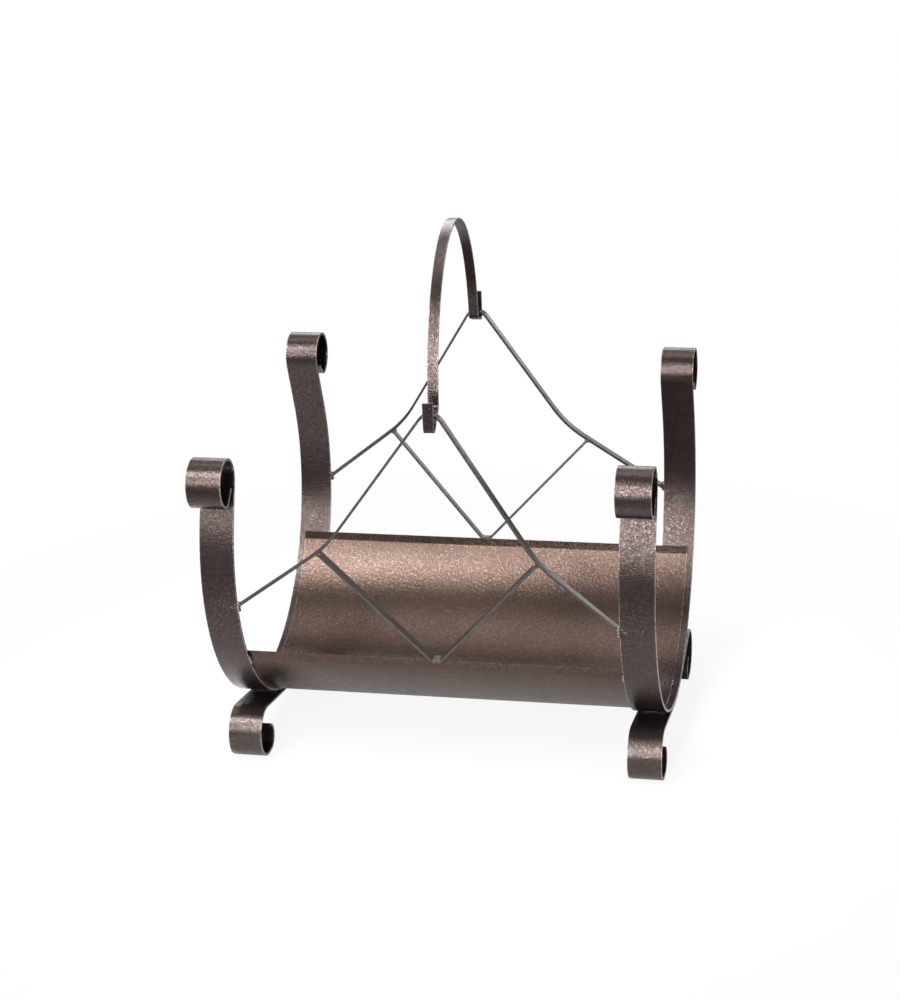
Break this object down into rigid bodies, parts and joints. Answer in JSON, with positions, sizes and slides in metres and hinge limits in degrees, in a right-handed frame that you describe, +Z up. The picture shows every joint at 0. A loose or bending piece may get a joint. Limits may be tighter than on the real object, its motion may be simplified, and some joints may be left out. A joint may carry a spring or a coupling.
{
  "type": "log holder",
  "caption": "Open trough of rolled sheet for firewood, carried by scrolled flat-bar bands on curled feet, with bent side arches and a hooked swinging handle.",
  "frame": {"origin": "on the floor, under the middle of the bounding box", "axes": "+X along the trough to its right end, +Y from the front side to the rear side, +Z up"},
  "size_m": [0.516, 0.4775, 0.6215],
  "materials": {
    "trough_finish": "hammered antique copper-brown paint, glossy",
    "band_finish": "hammered antique copper-brown paint, glossy",
    "foot_finish": "hammered antique copper-brown paint, glossy",
    "brace_finish": "hammered antique copper-brown paint, glossy",
    "handle_finish": "hammered antique copper-brown paint, glossy",
    "weld_bead": "hammered antique copper-brown paint, glossy, over weld"
  },
  "bodies": {
    "frame": {"trough_sheet": "trough_finish", "left_band": "band_finish", "right_band": "band_finish", "left_foot_bar": "foot_finish", "right_foot_bar": "foot_finish", "front_arch": "brace_finish", "rear_arch": "brace_finish", "front_vee_brace": "brace_finish", "rear_vee_brace": "brace_finish", "left_trough_welds": "weld_bead", "right_trough_welds": "weld_bead", "left_foot_welds": "weld_bead", "right_foot_welds": "weld_bead", "front_arch_end_welds": "weld_bead", "rear_arch_end_welds": "weld_bead", "front_vee_top_welds": "weld_bead", "rear_vee_top_welds": "weld_bead", "front_vee_foot_welds": "weld_bead", "rear_vee_foot_welds": "weld_bead"},
    "handle": {"handle": "handle_finish"}
  },
  "joints": [
    {"name": "handle_swing", "type": "hinge", "parent": "frame", "child": "handle", "pos_m": [0, 0, 0.45804], "axis": [-0.0639, 0.998, 0], "range_deg": [-12, 12]}
  ]
}
